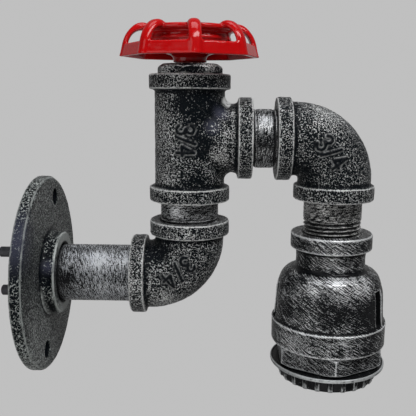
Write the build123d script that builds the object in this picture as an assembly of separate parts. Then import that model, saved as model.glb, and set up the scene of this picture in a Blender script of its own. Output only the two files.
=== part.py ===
from build123d import *
import math
import os

# Industrial pipe wall light: a cast wall flange carries a run of 3/4 inch pipe
# nipples and malleable fittings (elbow, tee, elbow) that ends in a bell-shaped
# lamp head looking down, with a red handwheel on top of the tee.
#
# Millimetres. Origin: on the pipe axis, at the back face of the wall flange.
# +X away from the wall, +Z up, +Y completes the frame. The whole pipe run lies
# in the plane y = 0.

# ---------------------------------------------------------------- dimensions
pipe_r = 13.35            # 3/4 inch pipe, 26.7 outside
pipe_bore_r = 10.5
fit_clear = 0.03          # assembled thread, drawn as a plain close joint
port_r = pipe_r + fit_clear
port_depth = 13.6         # thread engagement in a fitting
band_r = 18.45            # thickened rim of a fitting
band_w = 7.0
elbow_r = 16.0            # outside of the elbow's body
elbow2_r = 16.7
tee_r = 15.9
bend_r = 18.2             # centreline bend of both elbows
inner_r = 11.6            # passage inside the fittings

flange_r = 46.0
flange_t = 5.4
boss_x = 11.5             # front of the flange's socket
boss_r = 18.9             # round rim of its front face
boss_af = 36.9            # across its eight flats
screw_pcd = 73.0
screw_hole_r = 3.9
screw_az = 18.6           # holes turned this far from the vertical, towards +Y

stud_spacing = 19.0
stud_r = 2.5
stud_seat_r = 2.1
stud_len = 19.0
stud_plate_r = 16.8
stud_plate_t = 3.0

x1_face = 44.95           # lower elbow, face towards the flange
elbow_cf = 26.77          # centre to face
x1 = x1_face + elbow_cf   # riser axis, 71.72
tee_cf = 28.59
gap1 = 9.24               # riser nipple shows this much
z_tee_bot = elbow_cf + gap1
z_tee = z_tee_bot + tee_cf        # 64.60, arm axis
z_tee_top = z_tee + tee_cf        # 93.19
x_tee_face = x1 + tee_cf          # 100.31
gap2 = 10.67
x2_face = x_tee_face + gap2       # 110.98
elbow2_cf = 27.41
x2 = x2_face + elbow2_cf          # drop axis, 138.39
z2_face = z_tee - elbow2_cf       # 37.19
head_top = 21.3                   # top of the lamp head's collar

plug_r = 15.0
plug_top = 97.7
web_z = 84.0              # underside of the plug's web
spindle_r = 3.0
run_clear = 0.05          # radial running clearance

wheel_az = 7.5            # a rib stands this far round from -Y towards +X
rib_w = 5.8
wheel_n = 8
wheel_corner_r = 31.5
wheel_z0 = 100.6
wheel_rim_z = 106.0
wheel_hub_z0 = 98.35

bush_af = 46.0            # hexagon across flats
bush_z0, bush_z1 = -40.2, -31.45
ring_z1, ring_z0 = -40.75, -42.2
ring_r = 27.1
grip_r = 22.9
grip_z0 = -48.8
teeth = 24

wire_r = 1.2
wire_y = 3.4
blk_y = 6.5               # terminal blocks, to each side of the axis
parts = {}


# ---------------------------------------------------------------- helpers
def outline(pts):
    """Closed face in (radius, height); a third value rounds that corner."""
    n = len(pts)
    segs, ends = [], []
    for i in range(n):
        p = Vector(pts[i][0], pts[i][1])
        rad = pts[i][2] if len(pts[i]) > 2 else 0
        if rad:
            a = Vector(pts[i - 1][0], pts[i - 1][1]) - p
            b = Vector(pts[(i + 1) % n][0], pts[(i + 1) % n][1]) - p
            u, v = a.normalized(), b.normalized()
            half = math.acos(max(-1, min(1, u.dot(v)))) / 2
            t = rad / math.tan(half)
            m = (u + v).normalized()
            c = p + m * (rad / math.sin(half))
            ends.append((p + u * t, c - m * rad, p + v * t))
        else:
            ends.append((p, None, p))
    for i in range(n):
        if ends[i][1] is not None:
            segs.append(ThreePointArc(ends[i][0], ends[i][1], ends[i][2]))
        a, b = ends[i][2], ends[(i + 1) % n][0]
        if (a - b).length > 1e-6:
            segs.append(Line(a, b))
    return make_face(segs)


def turned(pts):
    """Solid of revolution about Z from (radius, height) points."""
    return revolve(Plane.XZ * outline(pts), Axis.Z)


def to_x(shape):
    """Turn a shape built about Z so that its +Z points along +X."""
    return Rotation(0, 90, 0) * shape


def at(shape, x=0.0, y=0.0, z=0.0):
    return Location((x, y, z)) * shape


def rod(r, z0, z1, x=0.0, y=0.0):
    return at(Cylinder(r, z1 - z0, align=(Align.CENTER, Align.CENTER, Align.MIN)), x, y, z0)


def ngon(r, n, z0, z1, turn):
    """Prism with a corner at `turn` degrees round from -Y towards +X."""
    s = RegularPolygon(r, n)
    s = Rotation(0, 0, turn - 90) * s
    return at(extrude(s, z1 - z0), 0, 0, z0)


def round_edges(shape, edges, radius):
    """Round what can be rounded, edge set first, then one by one smaller."""
    for k in (1.0, 0.6, 0.3):
        try:
            out = fillet(edges, radius * k)
            if out.is_valid and out.volume > 0:
                return out
        except Exception:
            pass
    return shape


def pipe(length, r=pipe_r, bore=pipe_bore_r):
    """Nipple along +Z from 0, ends chamfered where the threads run."""
    return turned([(bore, 0), (r - 0.9, 0), (r, 1.4), (r, length - 1.4), (r - 0.9, length), (bore, length)])


def band(cf, r=band_r, body=elbow_r):
    """Thickened rim of a fitting, rounded on both edges, face at height cf."""
    return turned([
        (0, cf - band_w - 2.5), (body - 0.3, cf - band_w - 2.5),
        (body + 0.1, cf - band_w, 1.2), (r, cf - band_w + 0.5, 0.6), (r, cf, 0.7), (0, cf),
    ])


def port(cf):
    """Threaded socket of a fitting with its countersunk mouth."""
    return turned([
        (0, cf - port_depth), (port_r, cf - port_depth), (port_r, cf - 1.0),
        (port_r + 1.0, cf + 0.01), (0, cf + 0.01),
    ])


def bent_tube(cf, r):
    """Solid round bar that bends from the -X face to the +Z face."""
    arc_face = Plane(origin=(-bend_r, 0, 0), x_dir=(0, 1, 0), z_dir=(1, 0, 0)) * Circle(r)
    bend = revolve(arc_face, Axis((-bend_r, 0, bend_r), (0, -1, 0)), 90)
    leg1 = at(to_x(Cylinder(r, cf - bend_r, align=(Align.CENTER, Align.CENTER, Align.MIN))), -cf)
    leg2 = rod(r, bend_r, cf)
    return bend + leg1 + leg2


# ---------------------------------------------------------------- wall flange
disc = to_x(turned([(0, 0), (flange_r - 0.4, 0, 0), (flange_r, 0.5), (flange_r, flange_t - 1.3, 0.5),
                    (flange_r - 1.4, flange_t, 0.6), (0, flange_t)]))
boss_h = boss_x - flange_t
corner = 1 / math.cos(math.pi / 8)
foot = turned([(0, -1), (boss_r + 1.1, -1), (boss_r + 1.1, 0.2), (boss_r + 0.7, 1.7, 0.6), (boss_r - 1.0, 2.6), (0, 2.6)])
flats = at(extrude(Rotation(0, 0, 22.5) * RegularPolygon(boss_af / 2 * corner, 8), boss_h - 1.0), 0, 0, 0.8)
flats &= rod(boss_r + 0.5, 0, boss_h)
lip = turned([(0, boss_h - 2.0), (boss_r - 1.4, boss_h - 2.0), (boss_r, boss_h - 0.9), (boss_r, boss_h - 0.1), (boss_r - 0.25, boss_h),
              (0, boss_h)])
boss = foot + flats + lip
wall_flange = disc + at(to_x(boss), flange_t)
wall_flange -= at(to_x(Cylinder(port_r, 30)), 5)
wall_flange -= at(to_x(rod(stud_plate_r + 0.05, -1, stud_plate_t + 0.3)), 0)
# recessed mouth round the pipe
wall_flange -= at(to_x(turned([(0, 0), (port_r + 0.1, 0), (port_r + 1.1, 1.4), (0, 1.4)])), boss_x - 1.3)
for s in (1, -1):
    a = math.radians(screw_az)
    hy, hz = s * screw_pcd / 2 * math.sin(a), s * screw_pcd / 2 * math.cos(a)
    wall_flange -= at(to_x(Cylinder(screw_hole_r, 20)), 0, hy, hz)
    wall_flange -= at(to_x(turned([(0, 0), (screw_hole_r, 0), (screw_hole_r + 0.7, 0.71), (0, 0.71)])),
                      flange_t - 0.7, hy, hz)
parts["wall_flange"] = wall_flange

# round plate let into the back of the flange; it carries the two rear studs
plate = to_x(rod(stud_plate_r, 0, stud_plate_t) - rod(6.3, -1, 10))
for s in (1, -1):
    plate -= at(to_x(Cylinder(stud_seat_r + 0.02, 20)), 0, 0, s * stud_spacing / 2)
parts["stud_plate"] = plate

stud = to_x(turned([(0, -stud_len), (stud_r - 0.5, -stud_len), (stud_r, -stud_len + 0.5), (stud_r, -0.02),
                    (stud_seat_r, -0.02), (stud_seat_r, stud_plate_t - 0.1), (0, stud_plate_t - 0.1)]))
parts["rear_studs"] = Compound(children=[at(stud, 0, 0, s * stud_spacing / 2) for s in (1, -1)])

# rubber bush lining the wire hole of the stud plate
parts["inlet_grommet"] = to_x(turned([
    (5.0, 0.1), (6.25, 0.1), (6.25, 3.1), (6.9, 3.1, 0.3), (6.9, 4.4, 0.5), (5.0, 4.4, 0.5)]))

# ---------------------------------------------------------------- nipples
n1_x0 = stud_plate_t + 0.35
n1_x1 = x1_face + port_depth - 0.2
parts["flange_nipple"] = at(to_x(pipe(n1_x1 - n1_x0)), n1_x0)
n2_z0, n2_z1 = elbow_cf - port_depth + 0.2, z_tee_bot + port_depth - 0.2
parts["riser_nipple"] = at(pipe(n2_z1 - n2_z0), x1, 0, n2_z0)
n3_x0, n3_x1 = x_tee_face - port_depth + 0.2, x2_face + port_depth - 0.2
parts["arm_nipple"] = at(to_x(pipe(n3_x1 - n3_x0)), n3_x0, 0, z_tee)

# drop nipple: plain above, with some turns of thread left showing at the collar
n4_z0, n4_z1 = head_top - 14.0, z2_face + port_depth - 0.2
n4 = [(pipe_bore_r, n4_z0), (pipe_r - 0.9, n4_z0), (pipe_r, n4_z0 + 1.4), (pipe_r, head_top + 0.3)]
pitch = 1.814
z = head_top + 0.35
while z < head_top + 6.0:
    n4 += [(pipe_r - 0.75, z + 0.35 * pitch), (pipe_r - 0.75, z + 0.5 * pitch), (pipe_r + 0.1, z + 0.85 * pitch),
           (pipe_r + 0.1, z + pitch)]
    z += pitch
n4 += [(pipe_r + 0.35, z + 0.4), (pipe_r + 0.35, z2_face - 0.6), (pipe_r, z2_face - 0.25), (pipe_r, n4_z1 - 1.4),
       (pipe_r - 0.9, n4_z1), (pipe_bore_r, n4_z1)]
parts["drop_nipple"] = at(turned(n4), x2)

# ---------------------------------------------------------------- elbows
def make_elbow(cf, body_r, rim_z, rim_x):
    solid = bent_tube(cf - 1.0, body_r)
    solid += band(cf, rim_z, body_r)
    solid += Rotation(0, -90, 0) * band(cf, rim_x, body_r)
    solid -= bent_tube(cf + 1, inner_r)
    solid -= port(cf)
    solid -= Rotation(0, -90, 0) * port(cf)
    return solid


lower = make_elbow(elbow_cf, elbow_r, band_r, band_r)
parts["lower_elbow"] = at(lower, x1, 0, 0)
upper = make_elbow(elbow2_cf, elbow2_r, band_r, band_r + 0.35)
# faces towards -X and -Z
parts["upper_elbow"] = at(Rotation(180, 0, 0) * upper, x2, 0, z_tee)

# ---------------------------------------------------------------- tee
run = rod(tee_r, -tee_cf + 1, tee_cf - 1)
branch = to_x(rod(tee_r - 0.4, 0, tee_cf - 1))
tee = run + branch
seam = [e for e in tee.edges() if e.geom_type not in (GeomType.CIRCLE, GeomType.LINE)]
tee = round_edges(tee, seam, 4.0)
for turn in ((0, 0, 0), (180, 0, 0), (0, 90, 0)):
    tee += Rotation(*turn) * band(tee_cf, band_r, tee_r)
tee -= rod(inner_r + 0.9, -tee_cf - 1, tee_cf + 1)
tee -= to_x(rod(inner_r + 0.9, 0, tee_cf + 1))
for turn in ((0, 0, 0), (180, 0, 0), (0, 90, 0)):
    tee -= Rotation(*turn) * port(tee_cf)
parts["tee"] = at(tee, x1, 0, z_tee)

# ---------------------------------------------------------------- tee plug
shank_z0 = z_tee_top - port_depth + 0.3
plug = rod(pipe_r, shank_z0, z_tee_top + 0.2) + ngon(plug_r, 8, z_tee_top + 0.05, plug_top, -8.0)
plug &= turned([(0, shank_z0 - 1), (15.6, shank_z0 - 1), (15.6, 94.9), (14.4, 96.4), (12.2, plug_top, 0.6), (0, plug_top)])
plug -= rod(10.0, shank_z0 - 1, web_z)
plug -= rod(spindle_r + run_clear, web_z - 1, plug_top + 1)
plug -= rod(1.5, web_z - 1, web_z + 6.5, -7.3, 0)
parts["tee_plug"] = at(plug, x1)

parts["spindle_washer"] = at(rod(6.8, plug_top, plug_top + 0.5) - rod(spindle_r + 0.3, 90, 100), x1)

# ---------------------------------------------------------------- spindle and handwheel (turn together)
sq = 4.6
spindle = turned([(0, 81.4), (spindle_r - 0.4, 81.4), (spindle_r, 81.8), (spindle_r, 82.75), (spindle_r - 0.6, 82.75),
                  (spindle_r - 0.6, 83.65), (spindle_r, 83.65), (spindle_r, wheel_hub_z0 - 0.05), (0, wheel_hub_z0 - 0.05)])
spindle += at(extrude(RectangleRounded(sq, sq, 0.5), 8.4), 0, 0, wheel_hub_z0 - 0.05)
spindle -= rod(1.5, 99.0, 120)
spindle = Rotation(0, 0, wheel_az) * spindle
parts["valve_spindle"] = at(spindle, x1)

clip = rod(4.7, 82.8, 83.6) - rod(spindle_r - 0.58, 80, 90)
clip -= at(Box(2.6, 8, 4), 0, -4.6, 83.2)
parts["spindle_clip"] = at(clip, x1)


def corner_ring(r, z):
    return at(Rotation(0, 0, wheel_az - 90) * RegularPolygon(r, wheel_n), 0, 0, z)


skirt = loft([corner_ring(wheel_corner_r, wheel_z0), corner_ring(30.0, wheel_rim_z)])
skirt -= loft([corner_ring(wheel_corner_r - 2.5, wheel_z0 - 0.01), corner_ring(27.6, wheel_rim_z + 0.01)])
# dished middle: hub flaring into a floor, then a wall up to the top ring
hub_top = 106.9
cup = turned([
    (0, wheel_hub_z0), (7.6, wheel_hub_z0, 0.5), (6.9, 100.0, 3.0), (8.2, 101.3, 2.0), (12.0, 102.5, 3.0),
    (17.8, 102.7, 1.5), (17.7, 107.4, 0.3), (18.5, 107.9, 0.35), (18.5, 108.7, 0.35), (17.8, 109.2, 0.3), (18.6, 111.2, 0.5),
    (20.7, 111.6, 0.6), (21.1, 113.5, 0.9), (17.2, 114.1, 0.8),
    (16.2, 105.4, 1.6), (8.2, 104.9, 1.2), (6.4, hub_top, 0.6), (0, hub_top)])
rib_out = [(31.5, 100.6), (30.4, 104.5), (29.8, 107.0), (28.5, 110.0), (26.5, 112.6), (23.9, 114.6), (21.4, 115.25),
           (18.8, 114.8), (17.3, 113.4)]
rib_in = [(17.6, 111.9), (20.5, 112.0), (23.2, 111.6), (25.4, 110.2), (26.8, 108.1), (27.5, 105.9), (28.6, 101.0)]
rib_face = Plane.XZ * make_face(Spline(*rib_out) + Polyline(rib_out[-1], rib_in[0]) + Spline(*rib_in)
                                + Line(rib_in[-1], rib_out[0]))
rib = extrude(rib_face, rib_w / 2, both=True)
curved = [e for e in rib.edges().filter_by(GeomType.BSPLINE) if abs((e @ 0.5).Y) > 1]
rib = round_edges(rib, [e for e in curved if e.length > 20], 2.3)
curved = [e for e in rib.edges().filter_by(GeomType.BSPLINE) if abs(abs((e @ 0.5).Y) - rib_w / 2) < 0.01]
rib = round_edges(rib, [e for e in curved if 15 < e.length < 20 and (e @ 0.5).Z < 110.5], 0.7)
wheel = skirt + cup
for k in range(wheel_n):
    wheel += Rotation(0, 0, wheel_az - 90 + k * 360 / wheel_n) * rib
wheel &= turned([(0, 90), (40, 90), (40, 100.7), (0, 100.7)]) + rod(60, wheel_z0, 130)
wheel -= at(extrude(Rotation(0, 0, wheel_az) * Rectangle(sq + 0.1, sq + 0.1), 30), 0, 0, 90)
parts["handwheel"] = at(wheel, x1)

parts["wheel_washer"] = at(rod(5.6, hub_top, hub_top + 1.0) - rod(1.7, 100, 120), x1)
screw = turned([(0, 99.4), (1.1, 99.4), (1.48, 99.8), (1.48, hub_top + 1.0), (3.6, hub_top + 1.0),
                (3.6, hub_top + 2.0, 0.4), (2.2, hub_top + 3.1, 1.2), (0, hub_top + 3.1)])
slot = Box(1.0, 3.8, 2.4) + Box(3.8, 1.0, 2.4)
screw -= Rotation(0, 0, 20) * at(slot, 0, 0, hub_top + 3.1)
parts["wheel_screw"] = at(screw, x1)

# earth tag and screw under the plug's web
tag = rod(2.6, web_z - 0.7, web_z, -7.3, 0) - rod(1.6, 80, 90, -7.3, 0)
tongue = at(Rotation(0, 0, 78) * Box(4.4, 2.4, 0.7, align=(Align.MIN, Align.CENTER, Align.MIN)), -7.0, 1.9, web_z - 0.7)
tongue -= rod(1.6, 80, 90, -7.3, 0)
barrel = rod(1.75, web_z - 5.4, web_z, -6.1, 5.3)
tag = tag + tongue + barrel
parts["earth_tag"] = at(tag, x1)
parts["earth_screw"] = at(turned([(0, web_z - 2.9), (2.2, web_z - 2.9, 0.5), (2.6, web_z - 0.72), (1.48, web_z - 0.72),
                                  (1.48, web_z + 5.6), (1.1, web_z + 6.0), (0, web_z + 6.0)]), x1 - 7.3)

# ---------------------------------------------------------------- lamp head
outer = [(port_r, head_top - 0.9), (port_r + 0.9, head_top), (18.9, head_top, 0.5), (18.9, 14.3, 0.7), (16.3, 13.8, 0.5),
         (16.0, 9.0), (16.3, 4.5, 1.3), (19.0, 4.1), (20.7, 3.3), (22.1, 1.95), (23.0, 0.4), (23.6, -1.2), (24.05, -2.7),
         (24.45, -4.2), (24.8, -5.6), (25.0, -7.3), (25.15, -10.0), (25.3, -14.0), (25.6, -17.5), (25.9, -19.9, 0.4),
         (26.95, -20.4, 0.25), (26.8, -22.4), (26.75, -31.2, 0.4), (23.5, -31.2)]
inner = [(23.5, -22.4), (22.3, -22.4), (22.2, -6.0), (21.4, -2.8), (19.4, -0.3), (16.0, 1.6), (11.6, 2.6), (11.6, 6.0),
         (port_r, 6.0)]
head = turned(outer + inner)
for k in range(4):
    az = 55.0 + 72.0 * k
    win = at(Box(6.4, 14, 17.4, align=(Align.CENTER, Align.CENTER, Align.MAX)), 0, -24.0, -3.1)
    win = fillet(win.edges().filter_by(Axis.Y), 1.0)
    head -= Rotation(0, 0, az) * win
parts["lamp_head"] = at(head, x2)

bush_c = bush_af / math.sqrt(3)
bush = ngon(bush_c, 6, bush_z0, bush_z1, 0.0)
bush &= turned([(0, bush_z0), (24.4, bush_z0), (26.7, bush_z0 + 1.3), (26.7, bush_z1 - 0.9), (25.2, bush_z1), (0, bush_z1)])
bush += rod(23.45, bush_z1 - 0.2, -23.3)
bush -= rod(20.3, -60, 0)
parts["head_bushing"] = at(bush, x2)

# ---------------------------------------------------------------- lampholder
barrel_pts = [(14.7, -47.6), (19.0, -47.6), (19.5, -47.1), (19.5, -28.0), (20.1, -27.4), (20.1, -23.25), (21.9, -23.25),
              (21.9, -20.4, 0.6), (19.2, -19.8), (19.2, -8.0), (16.6, -8.0), (16.6, -28.6), (14.7, -28.6)]
holder = turned(barrel_pts)
for s in (1, -1):
    holder += rod(1.9, -16.0, -8.0, s * 15.9, 0) & rod(19.2, -16, -8)
    holder -= rod(1.0, -15.0, -7.0, s * 15.9, 0)
parts["holder_body"] = at(holder, x2)

shell = turned([(13.3, -46.9), (13.3, -28.0), (16.3, -28.0), (16.3, -28.55), (13.9, -28.55), (13.9, -46.3), (14.4, -46.5),
                (14.4, -46.9)])
parts["screw_shell"] = at(shell, x2)

base = turned([(2.55, -21.3), (9.4, -21.3, 0.6), (10.2, -27.95), (16.4, -27.95), (16.4, -16.3), (4.1, -16.3), (4.1, -20.1),
               (2.55, -20.1)])
base -= at(Box(5.2, 2.2, 30), 0, 15.9, -18)
for s in (1, -1):
    base -= rod(2.1, -17.0, -8.0, s * 15.9, 0)
parts["contact_base"] = at(base, x2)

plunger = turned([(0, -27.2), (2.2, -27.2, 1.0), (2.5, -25.6, 0.5), (2.5, -20.05), (3.8, -20.05), (3.8, -19.0), (1.4, -19.0),
                  (1.4, -17.9), (0, -17.9)])
parts["centre_contact"] = at(plunger, x2)

# small compression spring behind the centre contact
spring_z0, spring_z1 = -18.72, -16.62
helix = Helix(0.95, spring_z1 - spring_z0, 2.75)
wire_sec = Plane(origin=helix @ 0, z_dir=helix % 0) * Circle(0.24)
spring = sweep(wire_sec, path=helix)
parts["contact_spring"] = at(spring, x2, 0, spring_z0)

live_strip = at(Box(5.0, 13.0, 0.6, align=(Align.CENTER, Align.CENTER, Align.MIN)), 0, -4.4, -16.3)
parts["live_strip"] = at(live_strip, x2)
neutral_strip = at(Box(4.6, 11.4, 0.6, align=(Align.CENTER, Align.MIN, Align.MIN)), 0, 4.6, -16.3)
neutral_strip += at(Box(4.6, 0.7, 12.25, align=(Align.CENTER, Align.MAX, Align.MAX)), 0, 16.0, -15.7)
parts["neutral_strip"] = at(neutral_strip, x2)

blocks, tscrews = [], []
for s in (-1, 1):
    b = at(Box(6.0, 5.6, 6.4, align=(Align.CENTER, Align.CENTER, Align.MIN)), 0, s * blk_y, -15.68)
    b = fillet(b.edges().filter_by(Axis.Z), 0.6)
    b -= rod(wire_r + 0.05, -13.0, -5, 0, s * blk_y)
    ax = at(Rotation(0, 90, 0) * Cylinder(1.27, 4, align=(Align.CENTER, Align.CENTER, Align.MIN)), 1.0, s * blk_y, -11.4)
    b -= ax
    blocks.append(b)
    t = Rotation(0, 90, 0) * turned([(0, 0), (1.24, 0), (1.24, 2.9), (2.3, 2.9), (2.3, 4.1, 0.5), (0, 4.1)])
    t -= at(Box(1.4, 0.6, 6), 4.1, 0, 0)
    tscrews.append(at(t, wire_r + 0.1, s * blk_y, -11.4))
parts["terminal_blocks"] = at(Compound(children=blocks), x2)
parts["terminal_screws"] = at(Compound(children=tscrews), x2)

cap = turned([(7.9, -7.95), (19.0, -7.95), (19.0, -5.2, 0.8), (15.6, -2.9, 1.5), (9.6, -1.9, 0.6), (7.7, -1.9, 0.4),
              (7.7, -4.4), (7.9, -4.4)])
cap -= turned([(0, -8), (17.0, -8), (17.0, -6.4), (14.6, -4.6), (0, -4.6)]) - rod(17.0, -8, -6.9, 0, 0) + rod(17.0, -8, -6.9)
for s in (1, -1):
    cap += rod(2.4, -7.95, -3.2, s * 15.9, 0) & turned([(0, -8), (19.0, -8), (19.0, -5.2), (15.6, -2.9), (0, -2.9)])
    cap -= rod(1.1, -10, 0, s * 15.9, 0)
    cap -= rod(1.95, -4.4, 0, s * 15.9, 0)
parts["holder_cap"] = at(cap, x2)
cs = turned([(0, -14.4), (0.7, -14.4), (0.98, -14.0), (0.98, -4.38), (1.8, -4.38), (1.8, -3.5, 0.5), (0, -3.5)])
cs -= at(Box(0.5, 3, 0.6, align=(Align.CENTER, Align.CENTER, Align.MAX)), 0, 0, -3.45)
parts["cap_screws"] = at(Compound(children=[at(cs, s * 15.9) for s in (1, -1)]), x2)

# shade ring: dished flange with a notched grip below, screwed on the skirt
ring = turned([(19.6, -46.9), (19.6, -40.9), (26.2, ring_z1 - 0.15), (26.5, ring_z1 + 0.25, 0.15), (ring_r, ring_z1 + 0.1, 0.3),
               (ring_r, ring_z0, 0.5), (grip_r + 0.5, ring_z0 - 0.35, 0.4), (grip_r, ring_z0 - 1.5),
               (grip_r - 0.25, grip_z0 + 1.2, 0.3), (grip_r - 0.8, grip_z0, 0.4), (20.3, grip_z0, 0.4), (20.3, -46.9)])
for k in range(teeth):
    az = -3.5 + 360.0 / teeth * k
    tooth = at(Box(2.0, 2.6, 5.4, align=(Align.CENTER, Align.CENTER, Align.MIN)), 0, -grip_r + 0.75, grip_z0)
    ring += Rotation(0, 0, az) * tooth
ring &= turned([(19.6, -60), (grip_r - 0.3, -60), (grip_r - 0.3, grip_z0), (grip_r + 0.35, grip_z0 + 1.3), (grip_r + 0.5, ring_z0), (ring_r + 1, ring_z0), (ring_r + 1, 0), (19.6, 0)])
parts["shade_ring"] = at(ring, x2)

# ---------------------------------------------------------------- leads
def lead(points, radii):
    path = FilletPolyline(*points, radius=radii)
    sec = Plane(origin=path @ 0, z_dir=path % 0) * Circle(wire_r)
    body = sweep(sec, path=path)
    want = math.pi * wire_r ** 2 * path.length
    print("lead length %.1f volume share %.4f" % (path.length, body.volume / want))
    return body


blk_z = -12.95
for name, s in (("live_lead", -1), ("neutral_lead", 1)):
    y = s * wire_y
    pts = [(0.2, y, 0), (x1, y, 0), (x1, y, z_tee), (x2, y, z_tee), (x2, y, 1.5), (x2, s * blk_y, -5.5), (x2, s * blk_y, blk_z)]
    parts[name] = lead(pts, [17.5, 17.5, 17.5, 4.5, 4.5])
earth = [(0.2, 0, 0), (x1, 0, 0), (x1, 0, 58.0), (x1 - 6.1, 5.3, 71.0), (x1 - 6.1, 5.3, web_z - 5.45)]
parts["earth_lead"] = lead(earth, [17.5, 10.0, 8.0])

# ---------------------------------------------------------------- write
os.makedirs("parts", exist_ok=True)
for name, shape in parts.items():
    shape.label = name
    export_step(shape, "parts/" + name + ".step")
print(len(parts), "nodes")
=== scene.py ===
import bpy, bmesh, math
import numpy as np
from mathutils import Vector, Matrix
from mathutils.bvhtree import BVHTree


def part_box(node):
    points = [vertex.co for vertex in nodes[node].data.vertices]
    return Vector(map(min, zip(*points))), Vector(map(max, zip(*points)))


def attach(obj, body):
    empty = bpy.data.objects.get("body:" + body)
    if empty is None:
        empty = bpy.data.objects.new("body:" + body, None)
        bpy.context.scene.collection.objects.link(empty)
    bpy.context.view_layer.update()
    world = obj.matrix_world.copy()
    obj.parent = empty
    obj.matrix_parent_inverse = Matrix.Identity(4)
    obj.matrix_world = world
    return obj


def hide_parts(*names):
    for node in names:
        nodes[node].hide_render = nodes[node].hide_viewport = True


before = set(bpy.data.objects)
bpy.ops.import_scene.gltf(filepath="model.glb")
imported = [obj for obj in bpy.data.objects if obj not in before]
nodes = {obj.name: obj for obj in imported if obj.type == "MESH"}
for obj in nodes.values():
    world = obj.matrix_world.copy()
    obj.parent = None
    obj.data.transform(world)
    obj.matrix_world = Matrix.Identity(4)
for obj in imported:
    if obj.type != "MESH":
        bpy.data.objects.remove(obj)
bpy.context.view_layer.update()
MM = 0.001

# the run's axes, in millimetres, as the frame has them
X1, X2, ZT = 71.72, 138.39, 64.60


# ------------------------------------------------------------------ camera, light, room
def camera():
    cam = bpy.data.cameras.new("cam")
    cam.sensor_width, cam.lens = 36.0, 53.51
    cam.clip_start, cam.clip_end = 0.01, 30
    o = bpy.data.objects.new("cam", cam)
    bpy.context.scene.collection.objects.link(o)
    r, u, b = (0.99964398, 0.02568392, 0.0072277), (-0.01176902, 0.18133817, 0.98335037), (0.02394563, -0.98308535, 0.18157589)
    m = Matrix((
        (r[0], u[0], b[0], 0.087284), (r[1], u[1], b[1], -0.284888), (r[2], u[2], b[2], 0.084548), (0, 0, 0, 1)))
    o.matrix_world = m
    bpy.context.scene.camera = o
    return o


def softbox(name, place, aim, size, size_y, power, colour=(1, 1, 1)):
    li = bpy.data.lights.new(name, "AREA")
    li.shape, li.size, li.size_y, li.energy, li.color = "RECTANGLE", size, size_y, power, colour
    o = bpy.data.objects.new(name, li)
    bpy.context.scene.collection.objects.link(o)
    o.location = Vector(place)
    o.rotation_mode = "QUATERNION"
    o.rotation_quaternion = (Vector(aim) - Vector(place)).to_track_quat("-Z", "Y")
    return o


camera()
scene = bpy.context.scene
scene.view_settings.view_transform = "Standard"
GREY = 0.5255



def room():
    """Pale studio: an even grey backdrop, and the soft light that the room itself gives."""
    w = bpy.data.worlds.new("room")
    scene.world = w
    w.use_nodes = True
    nt = w.node_tree
    nt.nodes.clear()
    out = nt.nodes.new("ShaderNodeOutputWorld")
    seen = nt.nodes.new("ShaderNodeBackground")
    seen.inputs[0].default_value = (GREY, GREY, GREY, 1)
    lit = nt.nodes.new("ShaderNodeBackground")
    tc = nt.nodes.new("ShaderNodeTexCoord")
    xyz = nt.nodes.new("ShaderNodeSeparateXYZ")
    nt.links.new(tc.outputs["Generated"], xyz.inputs[0])
    back = nt.nodes.new("ShaderNodeMapRange")
    back.interpolation_type = "SMOOTHSTEP"
    nt.links.new(xyz.outputs[1], back.inputs[0])
    for i, v in ((1, -0.1), (2, 0.9), (3, 0.045), (4, 0.42)):
        back.inputs[i].default_value = v
    nt.links.new(back.outputs[0], lit.inputs[1])
    path = nt.nodes.new("ShaderNodeLightPath")
    mix = nt.nodes.new("ShaderNodeMixShader")
    nt.links.new(path.outputs["Is Camera Ray"], mix.inputs[0])
    nt.links.new(lit.outputs[0], mix.inputs[1])
    nt.links.new(seen.outputs[0], mix.inputs[2])
    nt.links.new(mix.outputs[0], out.inputs[0])


room()
softbox("key", (0.33, -0.42, 0.63), (0.09, 0, 0.03), 0.74, 0.20, 6.4)
softbox("fill", (-0.55, -0.60, 0.10), (0.08, 0, 0.04), 0.70, 0.90, 3.0)
softbox("bounce", (0.10, -0.42, -0.42), (0.08, 0, 0.06), 0.60, 0.40, 1.1, (1.0, 0.99, 0.97))
softbox("top", (0.08, -0.05, 0.66), (0.08, 0, 0.05), 0.50, 0.26, 1.6, (0.94, 0.96, 1.0))


def floor():
    """A large plain floor, well below the light."""
    bm = bmesh.new()
    n, half = 24, 6.0
    vs = [[bm.verts.new((half * (2 * i / n - 1), half * (2 * j / n - 1), -0.62)) for j in range(n + 1)] for i in range(n + 1)]
    for i in range(n):
        for j in range(n):
            bm.faces.new((vs[i][j], vs[i + 1][j], vs[i + 1][j + 1], vs[i][j + 1]))
    me = bpy.data.meshes.new("floor")
    bm.to_mesh(me)
    bm.free()
    o = bpy.data.objects.new("floor", me)
    scene.collection.objects.link(o)
    m = bpy.data.materials.new("floor")
    m.use_nodes = True
    nt = m.node_tree
    nt.nodes.clear()
    out = nt.nodes.new("ShaderNodeOutputMaterial")
    seen = nt.nodes.new("ShaderNodeEmission")
    seen.inputs[1].default_value = GREY
    lit = nt.nodes.new("ShaderNodeEmission")
    lit.inputs[1].default_value = 0.26
    path = nt.nodes.new("ShaderNodeLightPath")
    mix = nt.nodes.new("ShaderNodeMixShader")
    nt.links.new(path.outputs["Is Camera Ray"], mix.inputs[0])
    nt.links.new(lit.outputs[0], mix.inputs[1])
    nt.links.new(seen.outputs[0], mix.inputs[2])
    nt.links.new(mix.outputs[0], out.inputs[0])
    me.materials.append(m)
    return o


floor()


# ------------------------------------------------------------------ mesh helpers
def arrays(me):
    co = np.empty(len(me.vertices) * 3, np.float32)
    me.vertices.foreach_get("co", co)
    e = np.empty(len(me.edges) * 2, np.int32)
    me.edges.foreach_get("vertices", e)
    return co.reshape(-1, 3).astype(float) / MM, e.reshape(-1, 2)


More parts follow.
